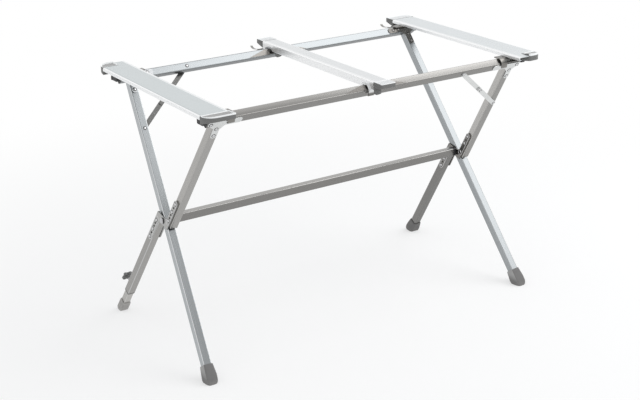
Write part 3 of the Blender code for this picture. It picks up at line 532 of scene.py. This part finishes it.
def all_rivets():
    """Rivet heads of the corner plates, braces and hub plates: body name, place, outward
    direction, radius."""
    spots = []
    leg_top = HUB_X - SPLAY * DROP
    for body, at, down, face, angle, row in (
            ("front_frame", FRONT, D_UPPER, N_UPPER, A_UPPER, (0.425, 0.472)),
            ("rear_frame", REAR, D_LONG, N_LONG, A_LONG, (0.405, 0.425, 0.472))):
        lean = SPLAY * math.cos(angle)
        corner = [(x, 0) for x in row] + [(leg_top + lean * t, t) for t in LEG_RIVETS]
        for side, _ in SIDES:
            for x, t in corner:
                place = at + X * side * x + down * t + face * CORNER_FACE
                spots.append((body, place, face, HEAD))
        # The front brace is at the right and outside, the rear one at the left and behind
        side, out = (1, face) if body == "front_frame" else (-1, -face)
        rail_end = Vector((side * LINK_X, 0))
        leg_end = Vector((side * (leg_top + lean * LINK_DOWN), LINK_DOWN))
        lap = rail_end.lerp(leg_end, LAP_SHARE)
        half_lap = (leg_end - rail_end).normalized() * LAP_HALF
        spots.append((body, at + X * rail_end.x + out * RAIL_LINK_FACE, out, HEAD))
        for p in (leg_end, lap - half_lap, lap + half_lap):
            place = at + X * p.x + down * p.y + out * LEG_LINK_FACE
            spots.append((body, place, out, LINK_HEAD))
        if body == "rear_frame":
            for p in (rail_end, leg_end):
                place = at + X * p.x + down * p.y + face * TUBE_FACE
                spots.append((body, place, face, TUBE_HEAD))
    for out, places in lobe_spots(LOBE_RIVETS):
        spots += [("front_frame", place, out, HEAD) for place in places]
    return spots


def build_rivets():
    """Rivet heads of each frame, with near-black rings round them as painted shadow; the heads at
    the rear right are darker as painted shade.
    """
    spots = all_rivets()
    for body in ("front_frame", "rear_frame"):
        heads, shadow_rings = bmesh.new(), bmesh.new()
        for where, place, out, r in spots:
            if where == body:
                before = len(heads.faces)
                rivet_head(heads, place, out, r)
                rivet_shadow_ring(shadow_rings, place, out, r)
                # Heads at the rear right take the darker copy as painted shade
                if body == "rear_frame" and place.x > 0:
                    for face in list(heads.faces)[before:]:
                        face.material_index = 1
        piece("rivet_heads_" + body, body, heads, (rivet_finish, rivet_shaded))
        piece("rivet_shadow_rings_" + body, body, shadow_rings, shadow_ring_finish)


def long_bead(bm, start, end, up, r, wire):
    """Half-sunk wire bent into a long ring round two centres."""
    along = (end - start).normalized()
    across = up.cross(along).normalized()
    length = (end - start).length
    turn = Matrix((across, up, along)).transposed().to_4x4()
    ring = bmesh.ops.create_circle(bm, cap_ends=False, segments=8, radius=wire,
                                   matrix=Matrix.Translation(start + across * r) @ turn)["verts"]
    loop = [e for e in bm.edges if all(v in ring for v in e.verts)]
    for centre, run in ((start, length), (end, -length)):
        swept = bmesh.ops.spin(bm, geom=loop, cent=centre, axis=up, angle=math.pi, steps=12)
        verts, loop = pulled(bm, of_kind(swept["geom_last"], Edge))
        bmesh.ops.translate(bm, verts=verts, vec=along * run)
    bmesh.ops.remove_doubles(bm, verts=bm.verts, dist=1e-5)


def build_hub_trim():
    """Raised bead round each lobe of the hub plates, in bright steel as a painted highlight, and
    the pressed dimples between its rivets, near black as painted shade."""
    bead_ends, dimples = (0.018, 0.092), (0.036, 0.048, 0.075)
    bead_r, wire_r = 0.0070, 0.0006
    beads, pips = bmesh.new(), bmesh.new()
    for out, (start, end, *places) in lobe_spots(bead_ends + dimples):
        long_bead(beads, start, end, out, bead_r, wire_r)
        for place in places:
            rivet_head(pips, place, out, DIMPLE)
            rivet_shadow_ring(pips, place, out, DIMPLE)
    piece("hub_beads", "front_frame", beads, rivet_finish)
    piece("hub_dimples", "front_frame", pips, shadow_ring_finish)


CAP_NEAR, CAP_TIP, CAP_TOP = 0.2683, 0.303, 0.6986
CAP_RISE = 0.0095                       # the underside climbs this much towards the tip
RIM, DISH = 0.0018, 0.0014              # width of the rim, and of its wall down to the dish
CAP_OUTER_X = 0.512
CAP_INNER_X, CAP_SHORT_X = 0.434, 0.4673    # inner ends of the full caps and of the short ones
ROUND, TIGHT = 0.028, 0.004             # corner radii in plan
SHELL, TOP, LIP = 0, 1, 2               # looks of a cap: sides, top, and a near-white rim as painted highlight


def build_cap(node, body, xs, end, height, corners, top_look, crest, rise=CAP_RISE, lift=0.0):
    """Moulded end cap: rounded in plan, with a dished top inside a near-white rim, a painted
    highlight.

    Its top climbs by crest at the tip, with lift more at the low end of xs, and its underside
    climbs by rise."""
    x0, x1 = sorted(xs)
    depth = CAP_TIP - CAP_NEAR
    middle = ((x0 + x1) / 2, end * (CAP_NEAR + depth / 2), CAP_TOP - height / 2)
    bm = bmesh.new()
    bmesh.ops.create_cube(bm, size=1)
    bmesh.ops.scale(bm, verts=bm.verts, vec=(x1 - x0, depth, height))
    bmesh.ops.translate(bm, verts=bm.verts, vec=middle)
    for x, r in zip((x0, x1), corners):
        edge = [e for e in bm.edges if all(abs(v.co.x - x) < 1e-5
                                           and abs(v.co.y - end * CAP_TIP) < 1e-5
                                           for v in e.verts)]
        bmesh.ops.bevel(bm, geom=edge, offset=r, segments=12 if r > 0.01 else 4, profile=0.5,
                        affect="EDGES", material=-1)
    bm.normal_update()
    top = [f for f in bm.faces if f.normal.z > 0.9]
    rim = bmesh.ops.inset_region(bm, faces=top, thickness=RIM, use_even_offset=True)["faces"]
    wall = bmesh.ops.inset_region(bm, faces=top, thickness=DISH, depth=-DISH,
                                  use_even_offset=True)["faces"]
    for f in rim + wall:
        f.material_index = LIP
    for f in top:
        f.material_index = TOP
    # The rounded top edge takes the near-white rim look as a painted highlight
    lip = [e for e in bm.edges if {f.material_index for f in e.link_faces} == {SHELL, LIP}
           and min(abs(v.co.y) for v in e.verts) > CAP_NEAR + 0.0001]
    bmesh.ops.bevel(bm, geom=lip, offset=0.0011, segments=3, profile=0.5, affect="EDGES",
                    clamp_overlap=True, material=LIP)
    for v in bm.verts:
        reach = max(0.0, (abs(v.co.y) - CAP_NEAR) / depth)
        if v.co.z < CAP_TOP - height / 2:
            v.co.z += rise * reach
        elif v.co.z > CAP_TOP - DISH / 2:
            v.co.z += (crest + lift * (x1 - v.co.x) / (x1 - x0)) * reach ** 2
    sharp = [e for e in bm.edges
             if len(e.link_faces) == 2 and e.calc_face_angle(0) > math.radians(35)]
    bmesh.ops.bevel(bm, geom=sharp, offset=0.0006, segments=2, profile=0.5, affect="EDGES",
                    clamp_overlap=True, material=-1)
    piece(node + "_moulding", body, bm, (cap_finish, top_look, cap_rim_highlight), 40,
          (node,))


def build_caps():
    """Caps of the three members. The front right and rear left caps are short; the front right
    one stays thicker at its tip and is lifted at its inner end; the rear right and middle ones
    are nearly flat on top, with tops made pale as painted light."""
    flat, climbing = 0.0002, 0.0026
    for side, word in SIDES:
        for end, place in ENDS:
            inner = CAP_INNER_X if end == side else CAP_SHORT_X
            corners = (ROUND, TIGHT) if side < 0 else (TIGHT, ROUND)
            top_look, crest = (cap_top_lit, flat) if end == side == 1 else (cap_top, climbing)
            rise, lift = (0.0062, 0.0035) if place == "front" and side > 0 else (CAP_RISE, 0.0)
            build_cap("bar_cap_" + place + "_" + word, word + "_member",
                      (side * inner, side * CAP_OUTER_X), end, 0.021, corners, top_look, crest,
                      rise, lift)
    for end, place in ENDS:
        build_cap("bar_cap_" + place + "_middle", "middle_member", (-MID_HALF, MID_HALF), end,
                  0.0205, (TIGHT, TIGHT), cap_top_lit, flat)


def build_rail_shades():
    """Thin sheets on the rails under the members, dark as the members' painted shade and
    reflection, with a low edge longer than the high edge. A row is the low edge's two ends and the
    high edge's two ends along the rail."""
    half_high, off, thick = 0.0084, HALF + 0.0001, 0.0008
    for name, body, at, normal, down, rows in (
            ("front", "front_frame", FRONT, -D_UPPER, N_UPPER,
             ((-0.094, 0.094, -0.038, 0.038), (0.412, 0.480, 0.434, 0.480),
              (-0.480, -0.412, -0.480, -0.434))),
            ("rear", "rear_frame", REAR, N_LONG, D_LONG, ((-0.094, 0.094, -0.041, 0.041),))):
        bm = bmesh.new()
        for low_0, low_1, high_0, high_1 in rows:
            corners = ((low_0, half_high), (low_1, half_high), (high_1, -half_high),
                       (high_0, -half_high))
            face = bm.faces.new([bm.verts.new(at + X * x + down * t + normal * off)
                                 for x, t in corners])
            raised = bmesh.ops.extrude_face_region(bm, geom=[face])["geom"]
            bmesh.ops.translate(bm, verts=of_kind(raised, Vert), vec=normal * thick)
        bmesh.ops.bevel(bm, geom=bm.edges[:], offset=0.0002, segments=1, profile=0.5,
                        affect="EDGES", material=-1)
        piece("rail_shades_" + name, body, bm, rail_shade_finish)


def bent_strip(name, body, path, x0, x1, thick=0.0009):
    """Strip of sheet bent along a path in the side view."""
    bm = bmesh.new()
    _, edges = profile_line(bm, [(x0, y, z) for y, z in path])
    verts, _ = pulled(bm, edges)
    bmesh.ops.translate(bm, verts=verts, vec=(x1 - x0, 0, 0))
    bmesh.ops.recalc_face_normals(bm, faces=bm.faces)
    bmesh.ops.solidify(bm, geom=bm.faces[:], thickness=thick)
    piece(name, body, bm, tab_finish, 50)


def build_tabs():
    """Thumb tabs of the rear clips: thin sheet that dips and curls up behind the member. The
    middle one is wide at its root and narrow beyond."""
    path = [(0.2505, 0.6795), (0.257, 0.6775), (0.266, 0.6785), (0.277, 0.6765), (0.288, 0.6755),
            (0.297, 0.6775), (0.3015, 0.6815)]
    bent_strip("thumb_tab_root", "middle_member", path[:3], -0.0440, -0.0235)
    bent_strip("thumb_tab_middle", "middle_member", path[2:], -0.0440, -0.0370)
    bent_strip("thumb_tab_right", "right_member", path, 0.412, 0.420)


# Rings of the feet from the top down: height above the floor along the leg, half width
PLAIN_RINGS = ((0.0460, 0.0126), (0.0457, 0.0134), (0.0445, 0.0138), (0.036, 0.0147),
               (0.026, 0.0157), (0.018, 0.0163), (0.010, 0.0164), (0.004, 0.0160),
               (-0.001, 0.0149), (-0.005, 0.0130), (-0.008, 0.0104), (-0.0102, 0.0070),
               (-0.0112, 0.0030))
RIB_HIGH, RIB_STEP, RIBS = 0.034, 0.0055, 5
RIBBED_RINGS = ((0.0400, 0.0110), (0.0397, 0.0116), (0.0385, 0.0119),
                *((RIB_HIGH - RIB_STEP * rib - down, half) for rib in range(RIBS)
                  for down, half in ((0, 0.0121), (0.0006, 0.0114), (0.0016, 0.0114),
                                     (0.0022, 0.0123))),
                (0.005, 0.0122), (0.001, 0.0119), (-0.002, 0.0110), (-0.0045, 0.0094),
                (-0.0066, 0.0070), (-0.0078, 0.0040))
POCKET_UP, POCKET_PLAY = 0.0142, 0.00012    # floor of the tube's pocket, and play round the tube
SQUARE = 7                                  # power of the rounded square; 2 would be a circle


def build_shoe(node, body, point, axis, face, rings, tube, look):
    """Moulded foot: rounded square rings along the leg that close into the toe, flat where it
    stands, with the pocket that the tube stands in."""
    ground = on_floor(point, axis)
    across = axis.cross(face).normalized()
    turn = Matrix((across, face, -axis)).transposed().to_4x4()
    bm = bmesh.new()
    bmesh.ops.create_circle(bm, cap_ends=False, segments=40, radius=1, matrix=turn)
    for v in bm.verts:
        a, b = v.co.dot(across), v.co.dot(face)
        v.co *= (abs(a) ** SQUARE + abs(b) ** SQUARE) ** (-1 / SQUARE)
    verts, loop = bm.verts[:], bm.edges[:]
    last_centre, last_half = Vector(), 1.0
    for step, (up, half) in enumerate(rings):
        if step:
            verts, loop = pulled(bm, loop)
        centre = ground - axis * up
        for v in verts:
            v.co = centre + (v.co - last_centre) * (half / last_half)
        last_centre, last_half = centre, half
    bmesh.ops.holes_fill(bm, edges=loop, sides=0)
    mouth = [e for e in bm.edges if e.is_boundary]
    mouth_up, mouth_half = rings[0]
    for up, narrowed in ((mouth_up, (tube + POCKET_PLAY) / mouth_half), (POCKET_UP, 1.0)):
        verts, mouth = pulled(bm, mouth)
        centre = ground - axis * up
        start = sum((v.co for v in verts), Vector()) / len(verts)
        for v in verts:
            v.co = centre + (v.co - start) * narrowed
    bmesh.ops.holes_fill(bm, edges=mouth, sides=0)
    for v in bm.verts:
        v.co.z = max(v.co.z, 0.0)
    piece(node + "_moulding", body, bm, look, 38, (node,))


def build_feet():
    """The three moulded feet and the smaller ribbed one of the levelling leg."""
    for side, word in SIDES:
        hub = hub_at(side)
        build_shoe("foot_front_" + word, "rear_frame", hub, leg_axis(D_LONG, side), N_LONG,
                   PLAIN_RINGS, HALF, foot_finish)
        point, axis = hub - N_LOWER * LEG_STEP, leg_axis(D_LOWER, side)
        if side > 0:
            build_shoe("foot_rear_right", "front_frame", point, axis, N_LOWER, PLAIN_RINGS, HALF,
                       foot_dark)
        else:
            build_shoe("adjuster_foot", "levelling_foot", point, axis, N_LOWER, RIBBED_RINGS,
                       INNER_HALF, level_foot)


KNOB_UP = 0.112                         # screw's height above the floor along the leg
KNOB_BACK, KNOB_THICK = 0.019, 0.009    # from the tube's face to the knob, and through the knob
THREAD_FROM, PITCH, TURNS = 0.0056, 0.0010, 10


def build_knob():
    """Hub cap and neck of the star knob, and its nut with the thread of its screw."""
    side = -1
    point, axis = hub_at(side) - N_LOWER * LEG_STEP, leg_axis(D_LOWER, side)
    spot = on_floor(point, axis) - axis * KNOB_UP
    back = -N_LOWER
    top = HALF + KNOB_BACK + KNOB_THICK
    bm = bmesh.new()
    spun(bm, spot, back, ((0, top - 0.001), (0.0072, top - 0.001), (0.0072, top + 0.0006),
                          (0.0064, top + 0.0016), (0.0040, top + 0.0018),
                          (0.0036, top + 0.0010), (0, top + 0.0010)), 24)
    spun(bm, spot, back, ((0.0034, HALF + 0.0160), (0.0062, HALF + 0.0160),
                          (0.0070, HALF + 0.0175), (0.0070, HALF + 0.0200),
                          (0.0034, HALF + 0.0200), (0.0034, HALF + 0.0160)), 24)
    piece("knob_hub", "clamp_knob", bm, knob_finish)
    bm = bmesh.new()
    spun(bm, spot, back, ((0, top + 0.0009), (0.0024, top + 0.0009), (0.0024, top + 0.0020),
                          (0.0018, top + 0.0026), (0, top + 0.0026)), 12)
    core, crest = 0.0026, 0.0031
    ridge = [(core, HALF + THREAD_FROM)]
    for number in range(TURNS):
        low = HALF + THREAD_FROM + PITCH * number
        ridge += [(crest, low + 0.4 * PITCH), (crest, low + 0.6 * PITCH), (core, low + PITCH)]
    spun(bm, spot, back, [(0, ridge[0][1])] + ridge + [(0, ridge[-1][1])], 16)
    piece("clamp_thread", "clamp_knob", bm, steel_finish)


build_rivets()
build_hub_trim()
build_caps()
build_rail_shades()
build_tabs()
build_feet()
build_knob()


# Studio

def seen_plainly(f):
    """1 where the camera or a reflection looks, 0 for the light that falls on the object."""
    camera = f.node("ShaderNodeLightPath", out="Is Camera Ray")
    outputs = camera.socket.node.outputs
    glossy = Value(f, outputs["Is Glossy Ray"])
    through = Value(f, outputs["Is Transmission Ray"])
    return (camera + glossy + through).lower(1)


def studio_floor():
    """Near-white floor that takes the soft shadow and turns white further out."""
    bm = bmesh.new()
    bmesh.ops.create_grid(bm, x_segments=8, y_segments=8, size=14)
    mesh = bpy.data.meshes.new("studio_floor")
    bm.to_mesh(mesh)
    bm.free()
    floor = bpy.data.objects.new("studio_floor", mesh)
    scene.collection.objects.link(floor)
    f = Finish("studio_floor")
    f.set(Base_Color=rgb(0.93, 0.93, 0.93), Roughness=0.9, Specular_IOR_Level=0.1)
    away = f.node("ShaderNodeVectorMath", {"operation": "LENGTH"}, (f.place(),), "Value")
    share = (away.rise(0.7, 2.2) * 0.5 + 0.5) * seen_plainly(f)
    white = f.node("ShaderNodeEmission", sockets={"Color": rgb(1, 1, 1), "Strength": 1.0})
    mixed = f.node("ShaderNodeMixShader",
                   sockets={0: share, 1: Value(f, f.surface.outputs[0]), 2: white})
    f.tree.links.new(mixed.socket, f.tree.nodes["Material Output"].inputs["Surface"])
    mesh.materials.append(f.made)


def studio_world():
    """Plain room: white where the camera or a reflection looks at it, dimmer as a light."""
    world = bpy.data.worlds.new("studio_world")
    scene.world = world
    f = Finish(world.name, world)
    room = f.tree.nodes["Background"]
    f.fill(room.inputs["Color"], f.blend(seen_plainly(f), rgb(0.80, 0.81, 0.82), rgb(1, 1, 1)))
    room.inputs["Strength"].default_value = 1.0


def softbox(name, at, target, wide, high, glow):
    """Rectangular lamp that faces a target; its power goes with its size and glow."""
    lamp = bpy.data.lights.new(name, "AREA")
    lamp.shape = "RECTANGLE"
    lamp.size, lamp.size_y = wide, high
    lamp.energy = glow * math.pi * wide * high
    lit = bpy.data.objects.new(name, lamp)
    lit.location = at
    lit.rotation_euler = (Vector(target) - Vector(at)).to_track_quat("-Z", "Y").to_euler()
    lit.visible_camera = False
    scene.collection.objects.link(lit)


def studio_camera():
    """The photograph's view."""
    place = (-1.76508, -2.68975, 1.52467)
    yaw, pitch, roll = 0.57721, 0.36487, -0.01466
    ahead = Vector((math.sin(yaw) * math.cos(pitch), math.cos(yaw) * math.cos(pitch),
                    -math.sin(pitch)))
    level = Vector((math.cos(yaw), -math.sin(yaw), 0))
    above = level.cross(ahead)
    right = level * math.cos(roll) + above * math.sin(roll)
    up = above * math.cos(roll) - level * math.sin(roll)
    lens = bpy.data.cameras.new("camera")
    lens.lens, lens.sensor_width, lens.shift_x = 69.57, 36.0, 0.001007
    lens.clip_start, lens.clip_end = 0.05, 60
    camera = bpy.data.objects.new("camera", lens)
    stand = Matrix((right, up, -ahead)).transposed().to_4x4()
    stand.translation = place
    camera.matrix_world = stand
    scene.collection.objects.link(camera)
    scene.camera = camera


studio_floor()
studio_world()
studio_camera()
softbox("upper_right", (2.3, -1.3, 2.7), (0, 0, 0.45), 2.7, 2.7, 2.0)
scene.view_settings.view_transform = "Standard"
